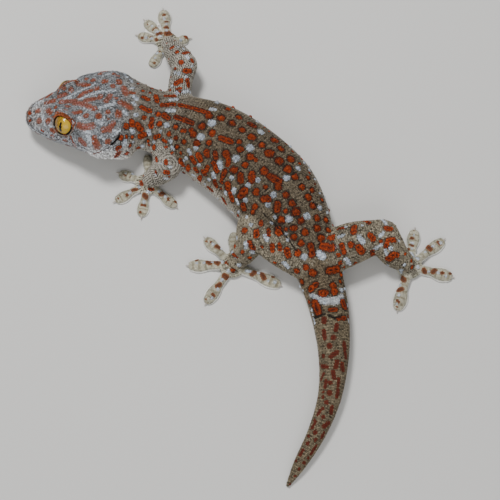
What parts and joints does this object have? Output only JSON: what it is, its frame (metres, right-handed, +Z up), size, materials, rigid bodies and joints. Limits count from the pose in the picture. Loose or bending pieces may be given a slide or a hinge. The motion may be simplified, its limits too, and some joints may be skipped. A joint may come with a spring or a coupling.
{
  "type": "tokay gecko",
  "caption": "Life-size still model of a tokay gecko lying flat, body bent in an arc, head rolled to its right, legs spread, toes fanned, regrown tail tapering to a point.",
  "frame": {"origin": "on the floor under the middle of the belly, on the belly's flat", "axes": "+Z up from the floor through the back, +Y from the tail tip to the shoulders and right hand, +X to the right hind foot, with the snout pointing to -X"},
  "size_m": [0.1812, 0.209, 0.0227],
  "materials": {
    "head_skin": "fine matt granular skin, blue grey with brick red blotches",
    "eye": "glossy clear cover over a gold iris with a dark slit",
    "trunk_skin": "matt granular skin, brown grey with rust red and white spots",
    "tail_skin": "smooth fine scales, brown grey with small dark red spots",
    "leg_skin": "fine wrinkled skin, grey with rust and white spots",
    "foot_skin": "pale grey skin with dark red bars",
    "toe_skin": "pale, slightly translucent skin with light rims and dark bars",
    "claw": "smooth horn"
  },
  "bodies": {
    "root": {"head": "head_skin", "eye_left": "eye", "eye_right": "eye", "neck": "trunk_skin", "torso": "trunk_skin", "pelvis": "trunk_skin", "tail_base": "trunk_skin", "tail_middle": "tail_skin", "tail_tip": "tail_skin", "front_right_upper": "leg_skin", "front_right_lower": "leg_skin", "front_right_hand": "foot_skin", "front_right_toe_1": "toe_skin", "front_right_toe_2": "toe_skin", "front_right_toe_3": "toe_skin", "front_right_toe_4": "toe_skin", "front_right_toe_5": "toe_skin", "front_left_upper": "leg_skin", "front_left_lower": "leg_skin", "front_left_hand": "foot_skin", "front_left_toe_1": "toe_skin", "front_left_toe_2": "toe_skin", "front_left_toe_3": "toe_skin", "front_left_toe_4": "toe_skin", "front_left_toe_5": "toe_skin", "hind_left_upper": "leg_skin", "hind_left_lower": "leg_skin", "hind_left_foot": "foot_skin", "hind_left_toe_1": "toe_skin", "hind_left_toe_2": "toe_skin", "hind_left_toe_3": "toe_skin", "hind_left_toe_4": "toe_skin", "hind_left_toe_5": "toe_skin", "hind_right_upper": "leg_skin", "hind_right_lower": "leg_skin", "hind_right_foot": "foot_skin", "hind_right_toe_1": "toe_skin", "hind_right_toe_2": "toe_skin", "hind_right_toe_3": "toe_skin", "hind_right_toe_4": "toe_skin", "hind_right_toe_5": "toe_skin"}
  },
  "joints": []
}
